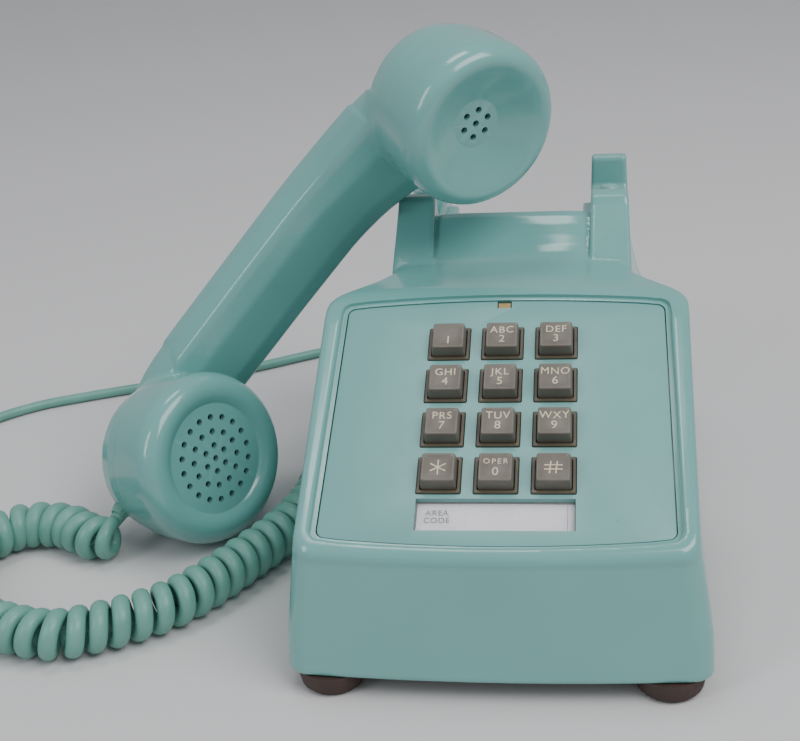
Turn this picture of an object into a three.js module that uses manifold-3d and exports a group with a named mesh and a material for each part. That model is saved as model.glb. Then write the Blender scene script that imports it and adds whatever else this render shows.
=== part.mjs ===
// Full-size push-button desk telephone with its handset lifted off and leaning on the cradle.
// Millimetres, +Z up, the keypad side faces -Y. The phone frame has x = 0 on the middle plane,
// y = 0 at the centres of the lowest row of keys, and its z = 0 lies LIFT above the table.
import * as THREE from 'three';
import { mergeVertices } from 'three/addons/utils/BufferGeometryUtils.js';
import Module from 'manifold-3d';

const wasm = await Module();
wasm.setup();

// ---------------------------------------------------------------- driving dimensions
const GAP = 0.3;                      // clearance between neighbouring pieces
const WALL = 2.6;                     // moulded wall

// the sloped face: its own frame is u across, v up the slope, n out of the face
const SLOPE = THREE.MathUtils.degToRad(27);
const FACE_HEIGHT = 63.9;             // height of the face frame's origin
const KEY_PITCH = 19.05;              // three quarters of an inch, both ways
const KEY_HALF = 5.95;
const COLLAR_HALF = 7.35;
const COLLAR_INNER = 6.2;
const PLATE = { halfTop: 57.3, halfBottom: 58.2, top: 74.5, bottom: -24.5, bow: 3, thick: 2, back: -2.6 };
const LABEL = { half: 26.3, low: -21.6, high: -9.2 };
const LIP = 2.2;                      // the rim stands this far above the face frame
const LEDGE_BACK = -5.4;              // the underside of the ledge that the plate lies on

// the housing
const LIFT = 2;                       // from the table to the phone frame's z = 0
const BASE_Z = 6;                     // lower edge of the housing
const FRONT_Y = -36.5;
const REAR_Y = 190;
const DECK_Z = 102;
const CREST_Y = 70;                   // upper end of the sloped face
const SHOULDER_Y = 76;                // the sides start to draw in here
const WAIST_Y = 108;                  // and are narrow from here on
const HORN = { inner: 31, mid: 38.4, half: 8.2, taper: 0.11, top: 119.8 };
const SADDLE_Z = 106.5;
const PLUNGER = { y: 156, r: 4.4, top: 115.9, low: 72 };

// the feet and the base
const FOOT = { x: 56.2, front: -23.8, rear: 170, r: 11.7, h: BASE_Z + LIFT - 0.2 };
const BASE_THICK = 1.6;

// the handset: its own frame has x from the transmitter to the receiver, z out of the handle's back
const SPAN = 164.3;                   // between the centres of the two caps' faces
const TRANSMITTER_TILT = THREE.MathUtils.degToRad(35.2);
const RECEIVER_TILT = THREE.MathUtils.degToRad(4.3);
const HANDSET_PLACE = new THREE.Vector3(-115.7, 66.4, 37.6);
const HANDSET_TURN = [-69.8, -47.6, 18.0].map(THREE.MathUtils.degToRad);
const TRANSMITTER_R = 34.1;
const RECEIVER_R = 31.7;
const HOLE_R = 1.3;

// the cords
const COIL_R = 9.3;                   // outside radius of the curly cord
const WIRE_R = 2.8;                   // the curly cord's own wire
const LINE_R = 2.3;
const COIL_RING = { x: -304, y: 150, r: 25, half: 8.5, h: 14.5 };

// ---------------------------------------------------------------- materials
const finish = (color, roughness, metalness = 0) => () =>
  new THREE.MeshStandardMaterial({ color, roughness, metalness });
const aqua = finish(0x74a6a0, 0.25);
const aquaSatin = finish(0x7aaaa3, 0.4);
const cordAqua = finish(0x6d9c93, 0.45);
const keyGrey = finish(0x6d675f, 0.4);
const collarGrey = finish(0x5d574b, 0.5);
const cardPaper = finish(0xd9d6de, 0.8);
const clear = finish(0xe8ecec, 0.1);
const steel = finish(0x9a9c9e, 0.35, 0.9);
const brass = finish(0xb08d57, 0.35, 0.9);
const rubber = finish(0x2a201c, 0.7);
const boardBrown = finish(0x7a5a38, 0.6);
const coilCopper = finish(0x8e5a35, 0.4, 0.6);
const blackPlastic = finish(0x26272a, 0.5);

// ---------------------------------------------------------------- solids
function toSolid(geometry) {
  const bare = geometry.clone();
  bare.deleteAttribute('normal');
  bare.deleteAttribute('uv');
  const merged = mergeVertices(bare, 1e-4);
  return new wasm.Manifold(new wasm.Mesh({
    numProp: 3,
    vertProperties: new Float32Array(merged.attributes.position.array),
    triVerts: new Uint32Array(merged.index.array),
  }));
}

function toGeometry(solid) {
  const mesh = solid.getMesh();
  const geometry = new THREE.BufferGeometry();
  geometry.setAttribute('position', new THREE.BufferAttribute(new Float32Array(mesh.vertProperties), 3));
  geometry.setIndex(new THREE.BufferAttribute(new Uint32Array(mesh.triVerts), 1));
  return geometry;
}

const cut = (base, ...tools) => toGeometry(tools.reduce((s, t) => s.subtract(toSolid(t)), toSolid(base)));
const join = (base, ...others) => toGeometry(others.reduce((s, t) => s.add(toSolid(t)), toSolid(base)));

function block(x0, x1, y0, y1, z0, z1) {
  const geometry = new THREE.BoxGeometry(x1 - x0, y1 - y0, z1 - z0);
  return geometry.translate((x0 + x1) / 2, (y0 + y1) / 2, (z0 + z1) / 2);
}

// closed skin through rings of equal length, closed at both ends
function loft(rings) {
  const count = rings[0].length;
  const points = rings.flat();
  const faces = [];
  for (let k = 0; k + 1 < rings.length; k += 1) {
    for (let i = 0; i < count; i += 1) {
      const a = k * count + i;
      const b = k * count + (i + 1) % count;
      faces.push(a, b, b + count, a, b + count, a + count);
    }
  }
  const capEnd = (ring, first, flip) => {
    const middle = ring.reduce((s, p) => s.add(p), new THREE.Vector3()).divideScalar(count);
    points.push(middle);
    for (let i = 0; i < count; i += 1) {
      const a = first + i;
      const b = first + (i + 1) % count;
      faces.push(...(flip ? [b, a, points.length - 1] : [a, b, points.length - 1]));
    }
  };
  capEnd(rings[0], 0, true);
  capEnd(rings.at(-1), (rings.length - 1) * count, false);
  const geometry = new THREE.BufferGeometry().setFromPoints(points);
  geometry.setIndex(faces);
  return geometry;
}

// turned about z: profile is a list of [radius, z]
function turned(profile, sides = 24) {
  return new THREE.LatheGeometry(profile.map(([r, z]) => new THREE.Vector2(r, z)), sides).rotateX(Math.PI / 2);
}

function rod(r, z0, z1, sides = 16) {
  return turned([[0, z0], [r, z0], [r, z1], [0, z1]], sides);
}

// flat outline in x and y, raised from z0 to z1
function raised(outline, z0, z1) {
  const shape = new THREE.Shape(outline.map(([x, y]) => new THREE.Vector2(x, y)));
  const geometry = new THREE.ExtrudeGeometry(shape, { depth: z1 - z0, bevelEnabled: false });
  return geometry.translate(0, 0, z0);
}

// flat outline in y and z, spread from x0 to x1
function spread(outline, x0, x1) {
  return raised(outline, x0, x1).rotateX(Math.PI / 2).rotateZ(Math.PI / 2);
}

const squareBar = (u, v, half, z0, z1) => block(u - half, u + half, v - half, v + half, z0, z1);

// rectangle with rounded corners; bow lifts the middle of the upper and lower edges
function plateOutline(grow, top, bottom, bow = PLATE.bow, corner = 3) {
  const outline = [];
  const edge = (half, v, sign) => {
    for (let i = -4; i <= 4; i += 1) {
      const u = i / 4 * (half - corner) * -sign;
      outline.push([u, v + sign * bow * (1 - (u / half) ** 2)]);
    }
  };
  edge(PLATE.halfBottom + grow, bottom - grow, -1);
  outline.push([PLATE.halfBottom + grow - corner * 0.29, bottom - grow + corner * 0.29]);
  outline.push([PLATE.halfBottom + grow, bottom - grow + corner]);
  outline.push([PLATE.halfTop + grow, top + grow - corner]);
  outline.push([PLATE.halfTop + grow - corner * 0.29, top + grow - corner * 0.29]);
  edge(PLATE.halfTop + grow, top + grow, 1);
  outline.push([-PLATE.halfTop - grow + corner * 0.29, top + grow - corner * 0.29]);
  outline.push([-PLATE.halfTop - grow, top + grow - corner]);
  outline.push([-PLATE.halfBottom - grow, bottom - grow + corner]);
  outline.push([-PLATE.halfBottom - grow + corner * 0.29, bottom - grow + corner * 0.29]);
  return outline;
}

// tube along points, with one section ring at each step
function tube(points, radius, sides, step) {
  const route = new THREE.CatmullRomCurve3(points.map((p) => new THREE.Vector3(...p)));
  const section = new THREE.Shape();
  for (let i = 0; i < sides; i += 1) {
    const a = i / sides * 2 * Math.PI;
    const place = [radius * Math.cos(a), radius * Math.sin(a)];
    if (i === 0) section.moveTo(...place);
    else section.lineTo(...place);
  }
  const steps = Math.max(3, Math.round(route.getLength() / step));
  return new THREE.ExtrudeGeometry(section, { steps, extrudePath: route, bevelEnabled: false });
}

// ---------------------------------------------------------------- scene graph
const root = new THREE.Group();
const phone = new THREE.Group();
const face = new THREE.Group();
face.position.z = FACE_HEIGHT;
face.rotation.x = SLOPE;
phone.add(face);
const handset = new THREE.Group();
phone.position.z = LIFT;
handset.position.copy(HANDSET_PLACE);
handset.rotation.set(HANDSET_TURN[0], HANDSET_TURN[1], HANDSET_TURN[2], 'ZYX');
root.add(handset);
const transmitterEnd = new THREE.Group();
transmitterEnd.rotation.y = -TRANSMITTER_TILT;
handset.add(transmitterEnd);
const receiverEnd = new THREE.Group();
receiverEnd.position.x = SPAN;
receiverEnd.rotation.y = -RECEIVER_TILT;
handset.add(receiverEnd);
root.add(phone);

function place(name, geometry, material, parent = phone) {
  const mesh = new THREE.Mesh(geometry, material());
  mesh.name = name;
  parent.add(mesh);
  return mesh;
}

const inFace = (geometry) => geometry.rotateX(SLOPE).translate(0, 0, FACE_HEIGHT);
const cylinderX = (r, x0, x1, y, z, sides = 16) => rod(r, x0, x1, sides).rotateY(Math.PI / 2).translate(0, y, z);
const cylinderY = (r, y0, y1, x, z, sides = 16) => rod(r, -y1, -y0, sides).rotateX(Math.PI / 2).translate(x, 0, z);

// ---------------------------------------------------------------- housing
// value of a curve given as [z, value] pairs, straight between them
function along(curve, z) {
  const above = curve.findIndex(([level]) => level > z);
  const k = above < 0 ? curve.length - 2 : Math.max(0, above - 1);
  const [[z0, v0], [z1, v1]] = [curve[k], curve[k + 1]];
  return THREE.MathUtils.lerp(v0, v1, THREE.MathUtils.clamp((z - z0) / (z1 - z0), 0, 1));
}

const slopeY = (z) => (z - FACE_HEIGHT - LIP / Math.cos(SLOPE)) / Math.tan(SLOPE);
const APRON = [[BASE_Z, FRONT_Y], [49, -31], [52, slopeY(52)]];
const frontY = (z) => (z > 52 ? slopeY(z) : along(APRON, z));
const FRONT_HALF = [[BASE_Z, 70.4], [20, 70], [53, 65.6], [DECK_Z, 66]];
const WAIST_HALF = [[BASE_Z, 70], [20, 69.4], [38, 65], [54, 57], [70, 50.4], [85, 47.2], [DECK_Z, 46.2]];
const REAR = [[BASE_Z, REAR_Y], [40, REAR_Y - 1], [DECK_Z, REAR_Y - 3]];
const FRONT_BOW = [[BASE_Z, 3.4], [52, 2.6], [60, 0], [DECK_Z, 0]];
const LEVELS = [BASE_Z, 20, 34, 46, 49.5, 51.5, 54, 62, 74, 88, 99.6];
const EDGE_ROUND = 2.4;               // inset of the top ring, which rounds the deck's edge

function planRing(z, shape, inset, slopeInset) {
  const front = frontY(shape) + (shape > 50 ? slopeInset : inset);
  const rear = along(REAR, shape) - inset;
  const wide = along(FRONT_HALF, shape) - inset;
  const narrow = along(WAIST_HALF, shape) - inset;
  const bow = along(FRONT_BOW, shape);
  const corner = 5;
  const half = [];
  for (let i = 0; i <= 4; i += 1) {
    const x = i / 4 * (wide - corner);
    half.push([x, front + bow * (x / wide) ** 2]);
  }
  half.push([wide - corner * 0.3, front + bow + corner * 0.3]);
  half.push([wide, front + bow + corner]);
  const start = Math.max(SHOULDER_Y, front + bow + corner + 2);
  for (let i = 0; i <= 5; i += 1) {
    const t = i / 5;
    const blend = (1 - Math.cos(Math.PI * t)) / 2;
    half.push([THREE.MathUtils.lerp(wide, narrow, blend), THREE.MathUtils.lerp(start, WAIST_Y, t)]);
  }
  half.push([narrow, rear - 8], [narrow - 2.3, rear - 2.3], [narrow - 8, rear], [narrow / 2, rear]);
  const mirror = half.slice(1).reverse().map(([x, y]) => [-x, y]);
  return [...half, [0, rear], ...mirror].map(([x, y]) => new THREE.Vector3(x, y, z));
}

// the deck falls a little towards the back and towards its sides
function crowned(geometry) {
  const corners = geometry.attributes.position;
  for (let i = 0; i < corners.count; i += 1) {
    const z = corners.getZ(i);
    const share = THREE.MathUtils.clamp((z - 74) / (DECK_Z - 74), 0, 1);
    const back = THREE.MathUtils.clamp((corners.getY(i) - CREST_Y) / (WAIST_Y - CREST_Y), 0, 1);
    const drop = 2 * back + 1.6 * (corners.getX(i) / 60) ** 2;
    corners.setZ(i, z - share * drop);
  }
  return geometry;
}

function bodyLoft(inset, slopeInset, low, high) {
  const levels = LEVELS.filter((z) => z < high - 3);
  const rings = levels.map((z) => planRing(Math.max(z, low), z, inset, slopeInset));
  if (low < BASE_Z) rings.unshift(planRing(low, BASE_Z, inset, slopeInset));
  rings.push(planRing(high - 0.7, high - 0.7, inset + EDGE_ROUND * 0.3, slopeInset + 0.6));
  rings.push(planRing(high, high, inset + EDGE_ROUND, slopeInset + 2));
  return crowned(loft(rings));
}

// one side of the cradle: front horn, saddle and rear horn in one profile
function cradleSide(sign) {
  const profile = [
    [103, 94], [104.5, 98], [127.5, 116.2], [129.5, 118.6], [132, HORN.top], [136, HORN.top],
    [137.6, 118.8], [138.6, 109], [141, SADDLE_Z], [175.5, SADDLE_Z], [178, 109],
    [179.2, 119.8], [180.6, 121], [185, 120.6], [186.4, 119.2], [187.6, 94],
  ];
  const geometry = spread(profile, -HORN.half, HORN.half);
  const corners = geometry.attributes.position;
  for (let i = 0; i < corners.count; i += 1) {
    const taper = 1 - HORN.taper * (corners.getZ(i) - profile[0][1]) / (HORN.top - profile[0][1]);
    corners.setX(i, corners.getX(i) * taper);
  }
  return geometry.translate(sign * HORN.mid, 0, 0);
}

const BRIDGE = [
  [84, 96], [84.5, 101], [100, 104.2], [112, 109], [120, 112.4], [125, 113.4], [129.5, 112.4],
  [132.5, 109], [134, 104], [134, 96],
];
const RECESS = { half: 27, front: 134, undercut: 114, floor: 78, ceiling: 97.5 };

function recessTool(grow) {
  return join(
    block(-RECESS.half - grow, RECESS.half + grow, RECESS.front - grow, 210, RECESS.floor - grow, 140),
    block(-RECESS.half + 3 - grow, RECESS.half - 3 + grow, RECESS.undercut - grow, RECESS.front + 1,
      RECESS.floor - grow, RECESS.ceiling + grow),
  );
}

const INLET = { y: 150, z: 15.5, r: 5.2 };
const LINE_INLET = { x: 12, z: 15.5, r: 4.6 };

function housing() {
  const shell = join(bodyLoft(0, 0, BASE_Z, DECK_Z), cradleSide(1), cradleSide(-1),
    spread(BRIDGE, -HORN.inner - 1, HORN.inner + 1));
  const plateFloor = inFace(raised(plateOutline(4.5, PLATE.top, PLATE.bottom), LEDGE_BACK, 30));
  const hollow = toGeometry(toSolid(bodyLoft(WALL, 5.7, BASE_Z - 2, DECK_Z - 4))
    .subtract(toSolid(recessTool(WALL))).subtract(toSolid(plateFloor)));
  const bores = [-HORN.mid, HORN.mid].map((x) => rod(PLUNGER.r + GAP, 90, 130, 20).translate(x, PLUNGER.y, 0));
  return cut(shell, hollow, recessTool(0), ...bores,
    inFace(raised(plateOutline(2, PLATE.top + 2, PLATE.bottom), -0.4, 30)),
    inFace(raised(plateOutline(GAP, PLATE.top, PLATE.bottom), PLATE.back - GAP, 30)),
    inFace(raised([[-52, -23], [52, -23], [52, 70], [-52, 70]], LEDGE_BACK - 20, 20)),
    inFace(block(-2.6, 2.6, PLATE.top - 0.4, PLATE.top + 3.2, -20, 5)),
    cylinderX(INLET.r + GAP, -80, -60, INLET.y, INLET.z),
    cylinderY(LINE_INLET.r + GAP, 180, 200, LINE_INLET.x, LINE_INLET.z));
}
place('housing', housing(), aqua);

// ---------------------------------------------------------------- base
function basePlate() {
  const outline = planRing(0, BASE_Z + 3, WALL + 0.6, WALL + 0.6).map((p) => [p.x, p.y]);
  return cut(raised(outline, BASE_Z + 0.2, BASE_Z + 0.2 + BASE_THICK), rod(3.6, 0, 20).translate(38, 96, 0));
}
place('base_plate', basePlate(), steel);

const FOOT_PROFILE = [[0, 0], [FOOT.r - 2.4, 0], [FOOT.r - 0.7, 1.8], [FOOT.r, 5], [FOOT.r, FOOT.h], [0, FOOT.h]];
for (const [row, y] of [['front', FOOT.front], ['rear', FOOT.rear]]) {
  for (const [side, x] of [['left', -FOOT.x], ['right', FOOT.x]]) {
    place(`foot_${row}_${side}`, turned(FOOT_PROFILE), rubber, root).position.set(x, y, 0);
  }
}

// thumb wheel for the ringer's loudness, under the base
function volumeWheel() {
  return join(turned([[0, 3], [13, 3], [13, 5.6], [0, 5.6]], 20), rod(3.2, 5, 12, 12));
}
place('ringer_volume_wheel', volumeWheel(), blackPlastic).position.set(38, 96, 0);

// ---------------------------------------------------------------- keypad, in the face frame
const COLUMNS = [-KEY_PITCH, 0, KEY_PITCH];
const ROWS = [3, 2, 1, 0].map((row) => row * KEY_PITCH);
const KEY_NAMES = ['1', '2', '3', '4', '5', '6', '7', '8', '9', 'star', '0', 'pound'];
const keyPlaces = ROWS.flatMap((v) => COLUMNS.map((u) => [u, v]));

function faceplate() {
  const plate = raised(plateOutline(0, PLATE.top, PLATE.bottom), PLATE.back, PLATE.back + PLATE.thick);
  return cut(plate, ...keyPlaces.map(([u, v]) => squareBar(u, v, COLLAR_HALF + GAP, -10, 10)),
    block(-LABEL.half, LABEL.half, LABEL.low, LABEL.high, -10, 10),
    block(-2.6, 2.6, PLATE.top - 0.4, 90, -10, 10));
}
place('faceplate', faceplate(), aquaSatin, face);
place('faceplate_latch', block(-2.2, 2.2, PLATE.top, PLATE.top + 2.4, -2.7, -1.2), brass, face);

function squareRing(half, z, corner = 0.8) {
  const ends = [[1, -1], [1, 1], [-1, 1], [-1, -1]];
  return ends.flatMap(([sx, sy], k) => {
    const a = [sx * half, sy * (half - corner)];
    const b = [sx * (half - corner), sy * half];
    return (k % 2 ? [a, b] : [b, a]).map(([x, y]) => new THREE.Vector3(x, y, z));
  });
}

function key() {
  const post = 2.4;
  return loft([squareRing(post, -11), squareRing(post, -6), squareRing(KEY_HALF, -6), squareRing(KEY_HALF, 1),
    squareRing(5.6, 4.2), squareRing(5.1, 4.7), squareRing(4.2, 4.2)]);
}
keyPlaces.forEach(([u, v], i) => {
  place(`key_${KEY_NAMES[i]}`, key(), keyGrey, face).position.set(u, v, 0);
});

const FRAME_BACK = -4.9;
const BOARD = { top: -15.2, low: -16.8 };
function keypadFrame() {
  const collars = keyPlaces.map(([u, v]) => squareBar(u, v, COLLAR_HALF, FRAME_BACK + 1, 0));
  const posts = [[-29, -6], [29, -6], [-29, 64], [29, 64]]
    .map(([u, v]) => rod(1.8, BOARD.top + GAP, -4, 8).translate(u, v, 0));
  const sheet = join(block(-31, 31, -8.7, 67, FRAME_BACK, PLATE.back - GAP), ...collars, ...posts);
  return cut(sheet, ...keyPlaces.map(([u, v]) => squareBar(u, v, COLLAR_INNER, -10, 10)));
}
place('keypad_frame', keypadFrame(), collarGrey, face);
place('keypad_board', block(-33, 33, -10, 68, BOARD.low, BOARD.top), boardBrown, face);
place('number_card', block(-27.4, 27.4, -22.4, -9, -4, -3.5), cardPaper, face);
place('card_window', block(-27.4, 27.4, -22.4, -9, -3.3, -2.8), clear, face);

// ---------------------------------------------------------------- hookswitch
const LEVER = { y: 118, z: 68, arm: 2.4 };
const PLUNGER_PROFILE = [
  [0, PLUNGER.low], [3, PLUNGER.low], [3, 86], [PLUNGER.r, 86], [PLUNGER.r, PLUNGER.top - 2.6],
  [PLUNGER.r - 1.2, PLUNGER.top - 0.7], [0, PLUNGER.top],
];
place('plunger_left', turned(PLUNGER_PROFILE, 20), aqua).position.set(-HORN.mid, PLUNGER.y, 0);
place('plunger_right', turned(PLUNGER_PROFILE, 20), aqua).position.set(HORN.mid, PLUNGER.y, 0);

function lever() {
  const armTop = PLUNGER.low - GAP;
  const arm = (x) => block(x - 3, x + 3, LEVER.y, PLUNGER.y + 5, armTop - 2 * LEVER.arm, armTop);
  const bar = cylinderX(LEVER.arm, -HORN.mid - 3, HORN.mid + 3, LEVER.y, LEVER.z, 12);
  return join(bar, arm(-HORN.mid), arm(HORN.mid));
}
place('hookswitch_lever', lever(), steel);

function leverBracket() {
  const ear = (x) => block(x, x + 2, 112.4, 123, 58, 72.5);
  const plate = block(-32, 32, 110.4, 112.4, BASE_Z + 0.2 + BASE_THICK + GAP, 72.5);
  return cut(join(plate, ear(-30), ear(28)), cylinderX(LEVER.arm + 0.35, -40, 40, LEVER.y, LEVER.z, 16));
}
place('hookswitch_bracket', leverBracket(), steel);
place('hookswitch_contacts', block(-12, 12, 103, 110, 48, 66), boardBrown);

// ---------------------------------------------------------------- works on the base
const FLOOR = BASE_Z + 0.2 + BASE_THICK + GAP;
place('network_block', join(block(-30, 30, 55, 98, FLOOR, FLOOR + 26), block(-24, 24, 60, 93, FLOOR + 25, FLOOR + 29)),
  blackPlastic);
place('ringer_frame', join(block(-46, 46, 128, 176, FLOOR, FLOOR + 2), block(-18, 18, 130, 132, FLOOR, 40)), steel);
place('ringer_coil', cylinderX(8.8, -15, 15, 144, FLOOR + 11.4, 16), coilCopper);
const GONG = [[0, 44], [4, 44], [13, 41], [18.2, 35], [19.6, 29], [21, 29], [19.5, 36], [14, 43], [4, 46], [0, 46]];
place('gong_left', turned(GONG, 20), brass).position.set(-25.5, 160, 0);
place('gong_right', turned(GONG, 20), brass).position.set(25.5, 160, 0);
function clapper() {
  return join(cylinderY(1.2, 139, 166, 0, 34, 8), new THREE.SphereGeometry(2.6, 10, 8).translate(0, 166, 34),
    rod(1.6, 30, 38, 10).translate(0, 139, 0));
}
place('ringer_clapper', clapper(), steel);

// ---------------------------------------------------------------- handset
// depth is measured behind the middle of a cap's face, so z = depth in the caps' own frames
function holePlaces(rings) {
  return rings.flatMap(([count, radius, turn]) => Array.from({ length: count }, (_, i) => {
    const a = turn + i / count * 2 * Math.PI;
    return [radius * Math.cos(a), radius * Math.sin(a)];
  }));
}

function perforated(profile, rings, sides) {
  const holes = holePlaces(rings).map(([x, y]) => rod(HOLE_R, -1, 4, 6).translate(x, y, 0));
  return cut(turned(profile, sides), ...holes);
}

const TRANSMITTER_CAP = [
  [0, 0], [21.6, 0], [22.6, -0.8], [27.2, -2.3], [30.4, -1.8], [32.9, 0.4], [TRANSMITTER_R, 4.2], [32.8, 22],
  [29.9, 22], [30.9, 5], [28.5, 2.4], [0, 2.4],
];
const RECEIVER_CAP = [
  [0, 0], [9.6, 0], [10.4, -0.6], [17, -3.2], [22, -6.2], [24.6, -7.8], [27.4, -7.6], [30.2, -5.2], [RECEIVER_R, -1],
  [31.3, 16.6], [28.6, 16.6], [28.6, 1.2], [26.6, -2.2], [18, -0.4], [10, 2.4], [0, 2.4],
];
const PI = Math.PI;
place('transmitter_cap', perforated(TRANSMITTER_CAP, [[1, 0, 0], [6, 5.2, PI / 6], [12, 10.7, PI / 6], [18, 16.4, PI / 6]], 36),
  aqua, transmitterEnd);
place('receiver_cap', perforated(RECEIVER_CAP, [[1, 0, 0], [6, 5.3, PI / 6]], 36), aqua, receiverEnd);
place('transmitter_capsule', turned([[0, 3], [25, 3], [26, 5], [26, 15], [0, 15]], 20), steel, transmitterEnd);
place('transmitter_cup', turned([[0, 15.4], [26, 15.4], [26, 23], [12, 24], [0, 24]], 20), blackPlastic, transmitterEnd);
place('receiver_capsule', turned([[0, 3], [9.4, 3], [10, 5], [22, 5], [22, 15], [0, 15]], 20), steel, receiverEnd);

// handle stations: x, z of the centre, half width and half thickness
const HANDLE = [
  [-10, 42, 17.5, 12], [2, 44.2, 19.2, 12.8], [20, 44.6, 19.3, 12.8], [60, 44.6, 19.3, 12.6], [98, 44, 19.5, 12.7],
  [116, 41.4, 20.3, 13], [130, 37.6, 22, 13.4], [142, 33.5, 24, 13], [152, 30, 25, 11],
];

function handleRing([x, z, wide, thick], i) {
  const ahead = HANDLE[Math.min(i + 1, HANDLE.length - 1)];
  const behind = HANDLE[Math.max(i - 1, 0)];
  const lean = Math.atan2(ahead[1] - behind[1], ahead[0] - behind[0]);
  return Array.from({ length: 20 }, (_, k) => {
    const a = k / 20 * 2 * Math.PI;
    const soft = (value) => Math.sign(value) * Math.abs(value) ** 0.58;
    const out = thick * soft(Math.sin(a));
    return new THREE.Vector3(x - out * Math.sin(lean), wide * soft(Math.cos(a)), z + out * Math.cos(lean));
  });
}

// the two cups are turned about their caps' axes
const TRANSMITTER_SHELL = [
  [0, 48], [16, 46.5], [24.8, 42], [29.4, 35], [31, 29], [31.9, 22.4], [29.4, 22.4], [29.4, 13], [27.2, 13],
  [26.8, 30], [21, 39.5], [0, 43.6],
];
const RECEIVER_SHELL = [
  [0, 43], [15, 42.4], [23, 39], [28, 32], [30.4, 23], [30.8, 17], [28, 17], [28, 9], [25.4, 9], [25.4, 28],
  [20, 35], [0, 38.4],
];
const closeProfile = (profile) => [...profile].reverse();
const COLLAR = { r: 3.9, start: 20, end: 33, depth: 33, turn: THREE.MathUtils.degToRad(25) };
const collarPlaced = (geometry) =>
  geometry.rotateY(-Math.PI / 2).rotateZ(COLLAR.turn).translate(0, 0, COLLAR.depth);

function handle() {
  const turnEnd = (geometry, group) => {
    group.updateMatrix();
    return geometry.applyMatrix4(group.matrix);
  };
  const solidCup = (shell) => closeProfile([...shell.slice(0, 8), [0, shell[7][1]]]);
  const hollowCup = (shell) => {
    const inside = shell.slice(8);
    return closeProfile([...inside.slice(1).reverse(), [inside[0][0], -30], [0, -30]]);
  };
  const capRoom = (radius, depth, group) => turnEnd(rod(radius + 2 * GAP, -30, depth + GAP, 36), group);
  const grip = cut(loft(HANDLE.map(handleRing)), capRoom(TRANSMITTER_R, 22, transmitterEnd),
    capRoom(RECEIVER_R, 16.6, receiverEnd));
  const body = join(grip,
    turnEnd(turned(solidCup(TRANSMITTER_SHELL), 32), transmitterEnd),
    turnEnd(turned(solidCup(RECEIVER_SHELL), 32), receiverEnd));
  return cut(body, turnEnd(turned(hollowCup(TRANSMITTER_SHELL), 28), transmitterEnd),
    turnEnd(turned(hollowCup(RECEIVER_SHELL), 28), receiverEnd),
    turnEnd(collarPlaced(rod(COLLAR.r + GAP, COLLAR.start - 3, 50, 12)), transmitterEnd));
}
place('handset_handle', handle(), aqua, handset);

// the collar that the curly cord leaves the transmitter cup through
function collar() {
  return turned([[0, COLLAR.start], [COLLAR.r, COLLAR.start], [COLLAR.r, 30], [COLLAR.r - 1, COLLAR.end], [0, COLLAR.end]], 12);
}
place('handset_bushing', collarPlaced(collar()), cordAqua, transmitterEnd);

// ---------------------------------------------------------------- cords
place('handset_cord_inlet', join(cylinderX(INLET.r, -76, -65.5, INLET.y, INLET.z, 14),
  cylinderX(INLET.r + 1.6, -65.6, -63.6, INLET.y, INLET.z, 14)), cordAqua);
place('line_cord_inlet', join(cylinderY(LINE_INLET.r, 185.4, 194.5, LINE_INLET.x, LINE_INLET.z, 14),
  cylinderY(LINE_INLET.r + 1.6, 183.6, 185.5, LINE_INLET.x, LINE_INLET.z, 14)), cordAqua);

// where each cord lies on the table, from the telephone outwards
const TAIL_ROUTE = [[-76.5, 150, 17.5], [-79, 150, 17.3], [-81.8, 148.4, 15.2], [-82.9, 145.6, 11.4], [-82.6, 143, 10.4], [-82.5, 140.8, 9.9]];
const CURLY_ROUTE = [
  [-82.5, 140, 9.7], [-81.9, 126, 9.5], [-81.7, 110, 9.5], [-82, 95, 9.5], [-83.6, 80, 9.5], [-87, 67, 9.5],
  [-92, 54, 9.5], [-99, 40.5, 9.5], [-108.5, 23, 9.5], [-119, 8, 9.5], [-131, -2, 9.5], [-145, -10, 9.5],
  [-158, -14.5, 9.5], [-173, -12, 9.5], [-188, -6, 9.5], [-203, 5, 9.5], [-213, 20, 9.5], [-214.5, 36, 9.5],
  [-209, 50.5, 9.5], [-199, 60.5, 9.5], [-187, 62.5, 9.5], [-176, 59.5, 9.5], [-170.5, 55.5, 9.5],
  [-165.5, 52.6, 9.5],
];
const LEAD_ROUTE = [
  [-165, 52.3, 9.4], [-162.6, 50.9, 8.8], [-158, 48.8, 5.6], [-152.5, 46.6, 4], [-147.4, 46.6, 7.5],
  [-149, 48.8, 12.4], [-153.5, 51.6, 14.2], [-156.9, 56.2, 15.2], [-156.3, 57.5, 15.8],
];
const LINE_ROUTE = [
  [12, 195, 17.5], [12, 200, 17], [13, 208, 12], [16, 222, 4.5], [13, 242, 2.6], [0, 260, 2.6], [-22, 272, 2.6],
  [-50, 273, 2.6], [-80, 265, 2.6], [-111, 252, 2.6], [-140, 235, 2.6], [-170, 220, 2.6], [-201, 208, 2.6],
  [-219, 200.5, 2.6], [-239, 191, 2.6], [-255, 178, 2.6], [-264.5, 165, 2.6], [-267.7, 152, 2.6],
];
place('handset_cord_tail', tube(TAIL_ROUTE, WIRE_R, 8, 6), cordAqua, root);
place('handset_cord', tube(CURLY_ROUTE, COIL_R, 10, 2.4 * COIL_R), cordAqua, root);
place('handset_cord_lead', tube(LEAD_ROUTE, WIRE_R, 8, 6), cordAqua, root);
place('line_cord', tube(LINE_ROUTE, LINE_R, 8, 5.4 * LINE_R), cordAqua, root);

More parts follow.
